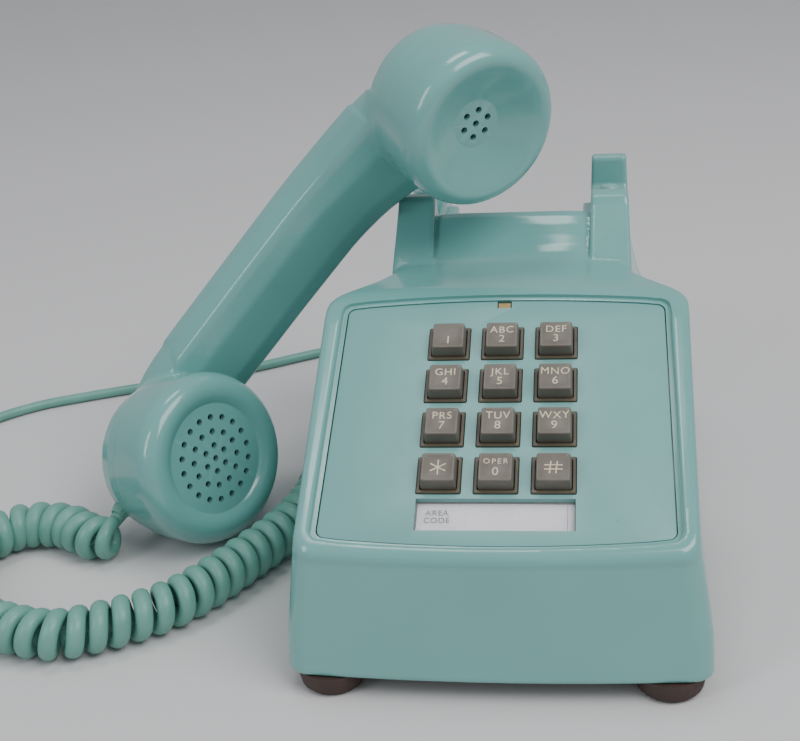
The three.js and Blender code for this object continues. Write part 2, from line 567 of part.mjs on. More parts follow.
// the rest of the line cord lies coiled, with its plug beside it
const RING = COIL_RING;
const PLUG = { x: RING.x - 12, y: RING.y - 48 };
place('line_cord_coil', turned([[RING.r - RING.half, 0.3], [RING.r + RING.half, 0.3],
  [RING.r + RING.half, RING.h], [RING.r - RING.half, RING.h], [RING.r - RING.half, 0.3]], 28), cordAqua, root)
  .position.set(RING.x, RING.y, 0);
place('line_cord_end', tube([[RING.x - 4, RING.y - RING.r - RING.half - 2.7, 2.6], [RING.x - 8, RING.y - 38, 2.8],
  [PLUG.x + 0.3, PLUG.y + 4, 3.6], [PLUG.x, PLUG.y, 4]], LINE_R, 8, 5), cordAqua, root);
place('line_plug', join(block(PLUG.x - 4.9, PLUG.x + 4.9, PLUG.y - 13, PLUG.y - 0.3, 0.4, 7),
  block(PLUG.x - 2.6, PLUG.x + 2.6, PLUG.y - 12, PLUG.y - 2, 6.9, 8.4)), clear, root);

// ---------------------------------------------------------------- placement of the whole
// the origin is under the middle of the telephone and its handset, at table height
const CORD_PIECES = /^(handset_cord|handset_bushing|line_)/;
const extent = new THREE.Box3();
root.updateMatrixWorld(true);
root.traverse((item) => {
  if (item.isMesh && !CORD_PIECES.test(item.name)) extent.expandByObject(item, true);
});
const middle = extent.getCenter(new THREE.Vector3());
root.position.set(-middle.x, -middle.y, -extent.min.z);

export default root;
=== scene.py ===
# The looks of a full-size push-button desk telephone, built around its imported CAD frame.
# Lengths in the helpers are millimetres in the phone's own frame and become metres in build().
import math

import bpy
import numpy as np
from mathutils import Euler, Matrix, Vector


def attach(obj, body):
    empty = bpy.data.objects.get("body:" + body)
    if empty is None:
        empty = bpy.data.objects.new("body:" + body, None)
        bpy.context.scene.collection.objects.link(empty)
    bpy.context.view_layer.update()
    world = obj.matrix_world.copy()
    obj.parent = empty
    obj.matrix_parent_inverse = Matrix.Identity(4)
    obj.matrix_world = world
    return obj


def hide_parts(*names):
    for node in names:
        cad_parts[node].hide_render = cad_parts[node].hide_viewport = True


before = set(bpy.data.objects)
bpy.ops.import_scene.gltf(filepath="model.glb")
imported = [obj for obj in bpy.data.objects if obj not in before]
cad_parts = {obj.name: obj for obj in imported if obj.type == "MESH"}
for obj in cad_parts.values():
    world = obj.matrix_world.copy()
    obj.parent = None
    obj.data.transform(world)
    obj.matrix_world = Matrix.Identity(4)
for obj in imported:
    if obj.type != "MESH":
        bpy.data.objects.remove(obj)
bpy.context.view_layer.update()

# ---------------------------------------------------------------- places, as in the CAD source
MM = 0.001
SHIFT = Vector((46.9096, -76.75, 0))      # from the phone frame's middle to the part's origin
LIFT = 2.0                                # the phone frame's z = 0 stands this far above the table
SLOPE = math.radians(27)
FACE_HEIGHT = 63.9
TRANSMITTER_TILT = math.radians(35.2)
RECEIVER_TILT = math.radians(4.3)
SPAN = 164.3
TABLE = Matrix.Scale(MM, 4) @ Matrix.Translation(SHIFT)
PHONE = TABLE @ Matrix.Translation((0, 0, LIFT))
FACE = PHONE @ Matrix.Translation((0, 0, FACE_HEIGHT)) @ Matrix.Rotation(SLOPE, 4, "X")
HANDSET_TURN = Euler([math.radians(a) for a in (-69.8, -47.6, 18.0)], "XYZ").to_matrix().to_4x4()
HANDSET = TABLE @ Matrix.Translation((-115.7, 66.4, 37.6)) @ HANDSET_TURN
TRANSMITTER = HANDSET @ Matrix.Rotation(-TRANSMITTER_TILT, 4, "Y")
RECEIVER = HANDSET @ Matrix.Translation((SPAN, 0, 0)) @ Matrix.Rotation(-RECEIVER_TILT, 4, "Y")

# ---------------------------------------------------------------- camera
CAMERA_PLACE = (0.08407, -0.49862, 0.29167)
CAMERA_YAW, CAMERA_PITCH, CAMERA_ROLL = math.radians(8.9945), math.radians(23.7144), math.radians(4.2294)
SENSOR = 36.0
LENS = 64.788


def make_camera():
    data = bpy.data.cameras.new("camera")
    data.sensor_width = SENSOR
    data.lens = LENS
    data.clip_start = 0.01
    camera = bpy.data.objects.new("camera", data)
    bpy.context.scene.collection.objects.link(camera)
    turn = (Matrix.Rotation(CAMERA_YAW, 4, "Z") @ Matrix.Rotation(-CAMERA_PITCH, 4, "X")
            @ Matrix.Rotation(CAMERA_ROLL, 4, "Y") @ Matrix.Rotation(math.radians(90), 4, "X"))
    camera.matrix_world = Matrix.Translation(CAMERA_PLACE) @ turn
    bpy.context.scene.camera = camera


make_camera()


# ---------------------------------------------------------------- mesh helpers
def build(name, points, faces, matrix, smooth=True):
    """A mesh object from points in millimetres, placed by matrix."""
    points = np.asarray(points, float)
    turn = np.array(matrix)
    world = points @ turn[:3, :3].T + turn[:3, 3]
    mesh = bpy.data.meshes.new(name)
    mesh.from_pydata(world.tolist(), [], [list(map(int, f)) for f in faces])
    mesh.update()
    mesh.shade_smooth() if smooth else mesh.shade_flat()
    made = bpy.data.objects.new(name, mesh)
    bpy.context.scene.collection.objects.link(made)
    return made


def rings_mesh(rings, close=False):
    """Points and faces of a skin through equal rings; the ends are closed unless close joins them."""
    rings = np.asarray(rings, float)
    levels, count = rings.shape[:2]
    points = rings.reshape(-1, 3)
    faces = []
    for k in range(levels if close else levels - 1):
        a, b = k * count, (k + 1) % levels * count
        for i in range(count):
            j = (i + 1) % count
            faces.append((a + i, a + j, b + j, b + i))
    if not close:
        faces.append(tuple(range(count - 1, -1, -1)))
        faces.append(tuple(range((levels - 1) * count, levels * count)))
    return points, faces


# ---------------------------------------------------------------- cords
COIL_R = 9.3
WIRE_WIDE, WIRE_DEEP = 3.35, 2.8          # half width along the coil and half depth of the curly cord's wire
WIRE_R = 2.8
LINE_R = 2.3
TURN_PITCH = 7.8
TAIL_ROUTE = [(-70, 150, 17.5), (-76.5, 150, 17.5), (-79, 150, 17.3), (-81.8, 148.4, 15.2),
              (-82.9, 145.6, 11.4)]
CURLY_ROUTE = [
    (-82.5, 140), (-81.9, 126), (-81.7, 110), (-82, 95), (-83.6, 80), (-87, 67), (-92, 54), (-99, 40.5),
    (-108.5, 23), (-119, 8), (-131, -2), (-145, -10), (-158, -14.5), (-173, -12), (-188, -6), (-203, 5),
    (-213, 20), (-214.5, 36), (-209, 50.5), (-199, 60.5), (-187, 62.5), (-176, 59.5), (-170.5, 55.5),
    (-165.5, 52.6),
    (-161, 50.4), (-156.5, 48.6),
]
LEAD_ROUTE = [(-157.4, 53.4, 15.6), (-157.3, 55.6, 14.9), (-156.3, 57.5, 15.8), (-155.4, 59.1, 16.6)]
LINE_ROUTE = [
    (12, 187, 17.5), (12, 195, 17.5), (12, 200, 17), (13, 208, 12), (16, 222, 4.5), (13, 242, 2.6),
    (0, 260, 2.6),
    (-22, 272, 2.6), (-50, 273, 2.6), (-80, 265, 2.6), (-111, 252, 2.6), (-140, 235, 2.6), (-170, 220, 2.6),
    (-201, 208, 2.6), (-219, 200.5, 2.6), (-239, 191, 2.6), (-255, 178, 2.6), (-264.5, 165, 2.6),
]


def catmull(points, step):
    """A smooth line through points, with about step between its points."""
    p = np.asarray(points, float)
    p = np.vstack([2 * p[0] - p[1], p, 2 * p[-1] - p[-2]])
    line = []
    for a, b, c, d in zip(p, p[1:], p[2:], p[3:]):
        t01, t12, t23 = (max(np.linalg.norm(v - u), 1e-6) ** 0.5 for u, v in ((a, b), (b, c), (c, d)))
        m1 = (c - b) + t12 * ((b - a) / t01 - (c - a) / (t01 + t12))
        m2 = (c - b) + t12 * ((d - c) / t23 - (d - b) / (t12 + t23))
        count = max(2, int(round(np.linalg.norm(c - b) / step * 3)))
        t = (np.arange(count) / count)[:, None]
        line.append(b + m1 * t + (3 * (c - b) - 2 * m1 - m2) * t ** 2 + (m1 + m2 - 2 * (c - b)) * t ** 3)
    line = np.vstack([*line, p[-2:-1]])
    run = np.concatenate([[0], np.cumsum(np.linalg.norm(np.diff(line, axis=0), axis=1))])
    even = np.linspace(0, run[-1], max(3, int(round(run[-1] / step)) + 1))
    return np.stack([np.interp(even, run, line[:, i]) for i in range(3)], 1)


def tube(name, line, wide, deep, side, sides, matrix):
    """A tube along line. side is its wide axis at each point; wide and deep are half sizes."""
    ahead = np.gradient(line, axis=0)
    ahead /= np.linalg.norm(ahead, axis=1)[:, None]
    side = side - (side * ahead).sum(1)[:, None] * ahead
    side /= np.linalg.norm(side, axis=1)[:, None]
    up = np.cross(ahead, side)
    angle = np.arange(sides) / sides * 2 * math.pi
    c, s = np.cos(angle), np.sin(angle)
    rings = (line[:, None] + side[:, None] * (wide[:, None] * c)[..., None] + up[:,
        None] * (deep[:, None] * s)[..., None])
    return build(name, *rings_mesh(rings), matrix)


def carried(line, first):
    """Directions across line, carried along it without twist from the direction first."""
    ahead = np.gradient(line, axis=0)
    ahead /= np.linalg.norm(ahead, axis=1)[:, None]
    found = [np.asarray(first, float)]
    for t in ahead[1:]:
        v = found[-1] - (found[-1] @ t) * t
        found.append(v / np.linalg.norm(v))
    return np.array(found)


def eased(line, joins, reach=12, rounds=60):
    """Rounds off the kink where two stretches of a cord meet, and leaves the rest of the line alone."""
    near = np.min(np.abs(np.arange(len(line))[:, None] - np.array(joins)), axis=1)
    share = np.clip(1 - near / reach, 0, 1)[:, None]
    share[[0, -1]] = 0
    for _ in range(rounds):
        line = line + 0.5 * share * ((np.roll(line, 1, 0) + np.roll(line, -1, 0)) / 2 - line)
    return line


def make_curly_cord():
    middle = catmull([(x, y, COIL_R + 0.25) for x, y in CURLY_ROUTE], 0.25)
    run = np.concatenate([[0], np.cumsum(np.linalg.norm(np.diff(middle, axis=0), axis=1))])
    turns = run[-1] / TURN_PITCH
    ahead = np.gradient(middle, axis=0)
    ahead /= np.linalg.norm(ahead, axis=1)[:, None]
    across = np.cross((0, 0, 1), ahead)
    start, end = math.radians(90), math.radians(90)
    steps = int(turns * 26)
    share = np.linspace(0, 1, steps)
    at = share * run[-1]
    c = np.stack([np.interp(at, run, middle[:, i]) for i in range(3)], 1)
    n = np.stack([np.interp(at, run, across[:, i]) for i in range(3)], 1)
    t = np.stack([np.interp(at, run, ahead[:, i]) for i in range(3)], 1)
    whole = round(turns)
    angle = start - share * (whole * 2 * math.pi) + share * (end - start)
    r = COIL_R - WIRE_DEEP
    helix = c + r * (n * np.cos(angle)[:, None] + np.array((0, 0, 1.0)) * np.sin(angle)[:, None])
    tail = catmull([*TAIL_ROUTE, tuple(helix[4])], 0.8)
    lead_points = [tuple(helix[-5]), *LEAD_ROUTE]
    lead = catmull(lead_points, 0.8)
    line = np.vstack([tail[:-1], helix[4:-4], lead[1:]])
    line = eased(line, (len(tail) - 1, len(line) - len(lead)))
    side_tail = carried(tail[:-1][::-1], t[4])[::-1]
    side_lead = carried(lead[1:], t[-5])
    side = np.vstack([side_tail, t[4:-4], side_lead])
    wide = np.concatenate([np.full(len(tail) - 1, WIRE_R), np.full(steps - 8, WIRE_WIDE),
                           np.full(len(lead) - 1, WIRE_R)])
    deep = np.concatenate([np.full(len(tail) - 1, WIRE_R), np.full(steps - 8, WIRE_DEEP),
                           np.full(len(lead) - 1, WIRE_R)])
    soft = np.ones(15) / 15
    wide = np.convolve(np.pad(wide, 7, "edge"), soft, "valid")
    deep = np.convolve(np.pad(deep, 7, "edge"), soft, "valid")
    cord = tube("curly_cord", line, wide, deep, side, 12, TABLE)
    path = [tuple(TABLE @ Vector(p)) for p in line]
    return cord, path


RING_X, RING_Y, RING_R = -304.0, 150.0, 25.0


def make_line_cord():
    lead_in = catmull([*LINE_ROUTE, (-269.5, 150, 2.6)], 1.5)
    pitch = 2 * LINE_R + 0.1
    outer, inner = RING_R + 8.5 - LINE_R, RING_R - 8.5 + LINE_R
    angle, radius, height = [], [], []
    z, r, a = LINE_R + 0.2, outer, 0.0
    for layer in range(3):
        far = inner if layer % 2 == 0 else outer
        turns = abs(far - r) / pitch
        count = int(turns * 48)
        for i in range(count):
            angle.append(a + i / count * turns * 2 * math.pi)
            radius.append(r + (far - r) * i / count)
            height.append(z)
        a += turns * 2 * math.pi
        r = far
        if layer < 2:
            for i in range(48):
                angle.append(a + i / 48 * 2 * math.pi)
                radius.append(r)
                height.append(z + pitch * (1 - math.cos(math.pi * i / 48)) / 2)
            a += 2 * math.pi
            z += pitch
    angle, radius, height = map(np.array, (angle, radius, height))
    # the cord comes in along -Y on the ring's +X side, so the turns run clockwise
    coil = np.stack([RING_X + radius * np.cos(angle), RING_Y - radius * np.sin(angle), height], 1)
    coil_end = coil[-1]
    plug = (RING_X - 12, RING_Y - 48)
    down = [tuple(coil_end), (RING_X - 30, RING_Y - 26, 8), (RING_X - 20, RING_Y - 38, 3.2),
            (plug[0] - 1, plug[1] + 5, 3.2), (plug[0], plug[1], 4)]
    tail = catmull(down, 1.5)
    line = np.vstack([lead_in[:-2], coil, tail[1:]])
    line = eased(line, (len(lead_in) - 2, len(line) - len(tail)))
    side = carried(line, (0, 0, 1.0))
    r = np.full(len(line), LINE_R)
    cord = tube("line_cord_run", line, r, r, side, 10, TABLE)
    path = [tuple(TABLE @ Vector(p)) for p in line]
    return cord, path


curly, curly_path = make_curly_cord()
liner, liner_path = make_line_cord()
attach(curly, "base")
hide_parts("handset_cord", "handset_cord_tail", "handset_cord_lead")
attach(liner, "base")
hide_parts("line_cord", "line_cord_coil", "line_cord_end")


# ---------------------------------------------------------------- solids as fields, negative inside
def turned(profile, sides=96):
    """Points and faces of a profile [(radius, z), ...] turned about z, from the axis out and back."""
    angle = np.arange(sides) / sides * 2 * math.pi
    rings = [[(r * math.cos(a), r * math.sin(a), z) for a in angle] for r, z in profile]
    return rings_mesh(rings)


def rounded(profile, radius=0.6, steps=3):
    """The profile with its inner corners rounded off."""
    p = np.asarray(profile, float)
    out = [p[0]]
    for a, b, c in zip(p, p[1:], p[2:]):
        u, v = a - b, c - b
        lu, lv = np.linalg.norm(u), np.linalg.norm(v)
        cut = min(radius, lu * 0.45, lv * 0.45)
        start, end = b + u / lu * cut, b + v / lv * cut
        for i in range(steps + 1):
            t = i / steps
            out.append((1 - t) ** 2 * start + 2 * t * (1 - t) * b + t * t * end)
    out.append(p[-1])
    return np.array(out)


def meet(a, b, r):
    """The inside of both fields, with its edge rounded to r."""
    return np.minimum(-r, np.maximum(a, b)) + np.hypot(np.maximum(a + r, 0), np.maximum(b + r, 0))


def unite(a, b, r):
    return -meet(-a, -b, r)


def polygon(points, a, b):
    """Distance to a closed outline in two coordinates."""
    nearest, side = 1e9, 1.0
    for (x0, y0), (x1, y1) in zip(points, [*points[1:], points[0]]):
        ex, ey = x1 - x0, y1 - y0
        wx, wy = a - x0, b - y0
        t = np.clip((wx * ex + wy * ey) / (ex * ex + ey * ey), 0, 1)
        nearest = np.minimum(nearest, (wx - ex * t) ** 2 + (wy - ey * t) ** 2)
        above, below, left = b >= y0, b < y1, ex * wy > ey * wx
        side = np.where((above & below & left) | (~above & ~below & ~left), -side, side)
    return side * np.sqrt(nearest)


def inset(points, r):
    """The outline moved inwards by r; it runs anticlockwise."""
    p = np.asarray(points, float)
    before, after = p - np.roll(p, 1, 0), np.roll(p, -1, 0) - p
    normal = lambda v: np.stack([-v[:, 1], v[:, 0]], 1) / np.linalg.norm(v, axis=1)[:, None]
    n0, n1 = normal(before), normal(after)
    bisector = n0 + n1
    return p + bisector * (r / np.maximum((bisector * n0).sum(1), 0.3))[:, None]


def skin(field, low, high, step):
    """Points and faces of the surface where field is zero."""
    axes = [np.arange(a, b + step, step) for a, b in zip(low, high)]
    x, y, z = axes[0][:, None, None], axes[1][None, :, None], axes[2][None, None, :]
    value = np.broadcast_to(field(x, y, z), [len(a) for a in axes])
    inside = value < 0
    corners = np.array([(i, j, k) for i in (0, 1) for j in (0, 1) for k in (0, 1)])
    n = np.array(inside.shape) - 1
    count = sum(inside[i:i + n[0], j:j + n[1], k:k + n[2]].astype(np.uint8) for i, j, k in corners)
    active = (count > 0) & (count < 8)
    cell = np.full(active.shape, -1, np.int64)
    cell[active] = np.arange(active.sum())
    index = np.argwhere(active)
    at = [value[tuple((index + c).T)] for c in corners]
    total, weight = np.zeros((len(index), 3)), np.zeros(len(index))
    for a in range(8):
        for b in range(a + 1, 8):
            if abs(corners[a] - corners[b]).sum() != 1:
                continue
            crossing = (at[a] < 0) != (at[b] < 0)
            t = np.where(crossing, at[a] / np.where(crossing, at[a] - at[b], 1), 0)
            total += crossing[:, None] * (corners[a] + t[:, None] * (corners[b] - corners[a]))
            weight += crossing
    points = np.array(low) + step * (index + total / weight[:, None])
    quads = []
    for axis in range(3):
        order = (axis, (axis + 1) % 3, (axis + 2) % 3)
        inn, cel = inside.transpose(order), cell.transpose(order)
        first, second = inn[:-1, 1:-1, 1:-1], inn[1:, 1:-1, 1:-1]
        around = [cel[:, :-1, :-1], cel[:, 1:, :-1], cel[:, 1:, 1:], cel[:, :-1, 1:]]
        for mask, turn in ((first & ~second, around), (~first & second, around[::-1])):
            quads.append(np.stack([c[mask] for c in turn], 1))
    nudge = 0.02
    for _ in range(3):
        here = field(*points.T)
        slope = np.stack([(field(*(points + nudge * e).T) - field(*(points - nudge * e).T)) / (2 * nudge)
                          for e in np.eye(3)], 1)
        move = here / np.maximum((slope ** 2).sum(1), 0.2)
        points = points - np.clip(move, -0.4 * step, 0.4 * step)[:, None] * slope
    return points, np.vstack(quads)


def carve(target, tools, operation="DIFFERENCE"):
    """Cuts the tools out of target and removes them."""
    for tool in tools:
        step = target.modifiers.new("cut", "BOOLEAN")
        step.operation, step.object, step.solver = operation, tool, "MANIFOLD"
    mesh = bpy.data.meshes.new_from_object(target.evaluated_get(bpy.context.evaluated_depsgraph_get()))
    target.modifiers.clear()
    target.data = mesh
    for tool in tools:
        bpy.data.objects.remove(tool)
    return target


def crisp(piece, degrees=38):
    piece.data.shade_smooth()
    piece.data.set_sharp_from_angle(angle=math.radians(degrees))
    return piece


def finish_piece(piece, body, slot_name, material, *nodes):
    piece.data.materials.clear()
    piece.data.materials.append(material)
    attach(piece, body)
    if nodes:
        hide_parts(*nodes)
    return piece


# ---------------------------------------------------------------- materials
def linear(text):
    """Linear colour of a #rrggbb text."""
    values = [int(text[i:i + 2], 16) / 255 for i in (1, 3, 5)]
    return (*[v / 12.92 if v <= 0.04045 else ((v + 0.055) / 1.055) ** 2.4 for v in values], 1)


def make_material(name, colour, roughness, other=None, blotch=30, blotch_share=0.5, speck=0.0, grain=900,
                  bump=0.06,
                  wear=None, metallic=0.0, coat=0.0, rough_spread=0.06, sheen=0.0, scratches=0.0):
    """Plastic, rubber, paper or metal: two colours in soft blotches, specks, worn edges and fine grain."""
    material = bpy.data.materials.new(name)
    material.use_nodes = True
    tree = material.node_tree
    nodes, link = tree.nodes, tree.links.new
    shader = nodes["Principled BSDF"]
    shader.inputs["Metallic"].default_value = metallic
    shader.inputs["Coat Weight"].default_value = coat
    shader.inputs["Coat Roughness"].default_value = 0.12
    shader.inputs["Sheen Weight"].default_value = sheen
    place = nodes.new("ShaderNodeTexCoord").outputs["Object"]

    def noise(scale, detail=3.0, stretch=None):
        made = nodes.new("ShaderNodeTexNoise")
        made.inputs["Scale"].default_value = scale
        made.inputs["Detail"].default_value = detail
        source = place
        if stretch:
            mapping = nodes.new("ShaderNodeMapping")
            mapping.inputs["Scale"].default_value = stretch
            link(place, mapping.inputs["Vector"])
            source = mapping.outputs["Vector"]
        link(source, made.inputs["Vector"])
        return made.outputs["Fac"]

    def spread(source, low, high, to_low, to_high):
        made = nodes.new("ShaderNodeMapRange")
        for key, number in zip(("From Min", "From Max", "To Min", "To Max"), (low, high, to_low, to_high)):
            made.inputs[key].default_value = number
        link(source, made.inputs["Value"])
        return made.outputs["Result"]

    def mix(first, second, share):
        made = nodes.new("ShaderNodeMix")
        made.data_type = "RGBA"
        link(share, made.inputs["Factor"])
        for socket, source in ((made.inputs[6], first), (made.inputs[7], second)):
            if isinstance(source, tuple):
                socket.default_value = source
            else:
                link(source, socket)
        return made.outputs[2]

    base = mix(linear(colour), linear(other or colour), spread(noise(blotch), 0.35, 0.65, 0, blotch_share))
    if speck:
        base = mix(base, linear("#4b4436"), spread(noise(420, 2), 0.72, 0.80, 0, speck))
    if wear:
        edge = nodes.new("ShaderNodeNewGeometry").outputs["Pointiness"]
        base = mix(base, linear(wear), spread(edge, 0.53, 0.60, 0, 0.35))
    link(base, shader.inputs["Base Color"])
    rough = spread(noise(65, 4), 0.3, 0.7, max(roughness - rough_spread, 0.02), roughness + rough_spread)
    link(rough, shader.inputs["Roughness"])
    height = noise(grain, 2)
    if scratches:
        streak = spread(noise(60, 3, (1, 14, 1)), 0.60, 0.64, 0, scratches)
        add = nodes.new("ShaderNodeMath")
        link(height, add.inputs[0])
        link(streak, add.inputs[1])
        height = add.outputs[0]
    bumps = nodes.new("ShaderNodeBump")
    bumps.inputs["Strength"].default_value = bump
    bumps.inputs["Distance"].default_value = 0.0002
    link(height, bumps.inputs["Height"])
    link(bumps.outputs["Normal"], shader.inputs["Normal"])
    return material


AQUA = make_material("aqua_plastic", "#6fa9a4", 0.17, "#6aa29c", 18, 0.6, 0.10, 260, 0.035, "#86bcb6",
                     coat=0.35)
SATIN = make_material("aqua_satin", "#74aaa6", 0.38, "#6fa29e", 24, 0.6, 0.16, 1500, 0.16)
CORD = make_material("cord_vinyl", "#6ba496", 0.40, "#609788", 60, 0.8, 0.12, 700, 0.12)
KEY = make_material("key_plastic", "#6c655b", 0.36, "#615a50", 160, 0.8, 0.25, 1800, 0.15, "#8b857a")
COLLAR = make_material("collar_plastic", "#595242", 0.45, "#4b4537", 160, 0.8, 0.3, 1500, 0.2)
LEGEND = make_material("legend_cream", "#ddd2b4", 0.5, "#c9bd9e", 300, 0.8, 0.0, 1500, 0.1)
INK = make_material("ink", "#26262a", 0.6, "#3a3a3e", 300, 0.8, 0.0, 1500, 0.1)
CARD = make_material("card_paper", "#e8e2e7", 0.75, "#ddd6da", 90, 0.8, 0.1, 2200, 0.25)
RUBBER = make_material("foot_rubber", "#3a2822", 0.62, "#2e1f1a", 120, 0.8, 0.2, 1200, 0.3, "#54433a")
BRASS = make_material("dull_brass", "#a98c5c", 0.42, "#85704d", 200, 0.9, 0.3, 1500, 0.2, metallic=0.8)
STEEL = make_material("plated_steel", "#9c9c98", 0.36, "#85857f", 60, 0.8, 0.2, 900, 0.15, metallic=0.9,
                      scratches=0.5)
BOARD = make_material("phenolic_board", "#7a5a38", 0.5, "#6a4c2e", 60, 0.8, 0.1, 1200, 0.2)
COPPER = make_material("taped_winding", "#7e5436", 0.5, "#6b452b", 200, 0.8, 0.1, 1200, 0.3)
DARK = make_material("dark_works", "#1b1c1e", 0.55, "#262729", 90, 0.8, 0.1, 900, 0.2)


def clear_material():
    material = make_material("clear_plastic", "#f2f5f5", 0.08, "#e6ecec", 60, 0.5, 0.0, 900, 0.03,
                             rough_spread=0.04)
    material.node_tree.nodes["Principled BSDF"].inputs["Alpha"].default_value = 0.16
    return material


CLEAR = clear_material()
curly.data.materials.append(CORD)
liner.data.materials.append(CORD)

# ---------------------------------------------------------------- housing
RIM = 2.2
BASE_Z, DECK_Z = 6.0, 102.0
FRONT_HALF = ([6, 20, 53, 102], [70.4, 70, 65.6, 66])
WAIST_HALF = ([6, 20, 38, 54, 70, 85, 102], [70, 69.4, 65, 57, 50.4, 47.2, 46.2])
APRON = ([6, 30, 46.5, 49.5, 56], [-36.5, -33.3, -31.3, -31.6, -31.2])
SHOULDER_Y, WAIST_Y = 67.0, 108.0
HORN_MID, HORN_HALF = 38.4, 8.2
HORN_PROFILE = [
    (103, 90), (187.6, 90), (186.4, 119.2), (185, 120.6), (180.6, 121), (179.2, 119.8), (178, 109),
    (175.5, 106.5),
    (141, 106.5), (138.6, 109), (137.6, 118.8), (136, 119.9), (132, 119.9), (129.5, 118.6), (127.5, 116.2),
    (104.5, 98),
]
BRIDGE_Y = [98, 104, 108, 112, 116, 120, 124, 128, 131, 133, 134.5, 136]
BRIDGE_Z = [96.5, 98.4, 99.8, 101.5, 103.8, 106.6, 109.7, 112.2, 112.8, 110.5, 104, 92]
RECESS_HALF, RECESS_FRONT, RECESS_FLOOR, RECESS_UNDER, RECESS_CEILING = 27.0, 134.0, 78.0, 114.0, 97.5


def body_field(x, y, z):
    ax = np.abs(x)
    wide, narrow = np.interp(z, *FRONT_HALF), np.interp(z, *WAIST_HALF)
    share = np.clip((y - SHOULDER_Y) / (WAIST_Y - SHOULDER_Y), 0, 1)
    blend = (1 - np.cos(math.pi * share)) / 2
    lean = (wide - narrow) * math.pi / 2 * np.sin(math.pi * share) / (WAIST_Y - SHOULDER_Y)
    sides = (ax - (wide + (narrow - wide) * blend)) / np.sqrt(1 + lean ** 2)
    front = np.interp(z, *APRON) + 3.2 * (x / 70) ** 2 - y
    rear = y - np.interp(z, [6, 40, 102], [190, 189, 187])
    across = -y * math.sin(SLOPE) + (z - FACE_HEIGHT) * math.cos(SLOPE)
    face = across - RIM
    back = np.clip((y - 70) / 38, 0, 1)
    low_deck = DECK_Z - 2 * back - 1.6 * (x / 60) ** 2
    bridge = np.interp(y, BRIDGE_Y, BRIDGE_Z) - 7 * (np.maximum(ax - 20, 0) / 26.6) ** 2.2
    deck = z - (low_deck + bridge + np.hypot(low_deck - bridge, 1.5)) / 2
    plan = meet(meet(sides, front, 7.0), rear, 8.0)
    top = meet(face, deck, 5.0)
    ease = np.clip((y - 60) / 30, 0, 1)
    whole = meet(plan, top, 2.4 + 3.2 * ease * ease * (3 - 2 * ease))
    return meet(whole, BASE_Z - z, 1.6)


def recess_field(x, y, z, grow):
    ax = np.abs(x)
    well = meet(meet(ax - RECESS_HALF - grow, RECESS_FRONT - grow - y, 3), RECESS_FLOOR - grow - z, 3)
    under = meet(meet(ax - RECESS_HALF + 3 - grow, RECESS_UNDER - grow - y, 3),
                 meet(RECESS_FLOOR - grow - z, z - RECESS_CEILING - grow, 2), 2)
    under = np.maximum(under, y - RECESS_FRONT - 4)
    return unite(well, under, 1.5)


HORN_OUTLINE = inset(HORN_PROFILE, 1.1).tolist()


def housing_field(x, y, z):
    body = body_field(x, y, z)
    ax = np.abs(x)
    half = HORN_HALF * (1 - 0.11 * (z - 94) / 25.8)
    horn = meet(polygon(HORN_OUTLINE, y, z) - 1.1, np.abs(ax - HORN_MID) - half, 1.2)
    whole = unite(body, horn, 0.7)
    return meet(whole, -recess_field(x, y, z, 0), 1.3)


def hollow_field(x, y, z):
    across = -y * math.sin(SLOPE) + (z - FACE_HEIGHT) * math.cos(SLOPE)
    inner = np.maximum(body_field(x, y, np.maximum(z, 12)) + 2.8, across + 8.0)
    inner = np.maximum(np.maximum(inner, z - 97), -recess_field(x, y, z, 2.8))
    return np.maximum(inner, 4 - z)


def plate_outline(grow, top=74.5, bottom=-24.5, bow=3.0, corner=3.0):
    """The faceplate's outline in its own plane, anticlockwise; grow moves it outwards."""
    corner = corner + max(grow, 0) * 0.6
    points = []

    def arc(cx, cy, start):
        for i in range(9):
            a = math.radians(start + i / 8 * 90)
            points.append((cx + corner * math.cos(a), cy + corner * math.sin(a)))

    def edge(half, v, sign):
        for i in range(1, 24):
            u = (i / 12 - 1) * (half - corner) * (-sign)
            points.append((u, v + sign * bow * (1 - (u / half) ** 2)))

    low, high = 58.2 + grow, 57.3 + grow
    edge(low, bottom - grow, -1)
    arc(low - corner, bottom - grow + corner - 0.1, -90)
    arc(high - corner, top + grow - corner + 0.1, 0)
    edge(high, top + grow, 1)
    arc(-high + corner, top + grow - corner + 0.1, 90)
    arc(-low + corner, bottom - grow + corner - 0.1, 180)
    return points


def stack(levels, outline=plate_outline):
    """A closed skin through the outline at several (z, grow) levels."""
    return rings_mesh([[(u, v, z) for u, v in outline(grow)] for z, grow in levels])


def bar(x0, x1, y0, y1, z0, z1):
    ring = lambda z: [(x0, y0, z), (x1, y0, z), (x1, y1, z), (x0, y1, z)]
    return rings_mesh([ring(z0), ring(z1)])


def rod(r, z0, z1, sides=48):
    return turned([(r, z0), (r, z1)], sides)


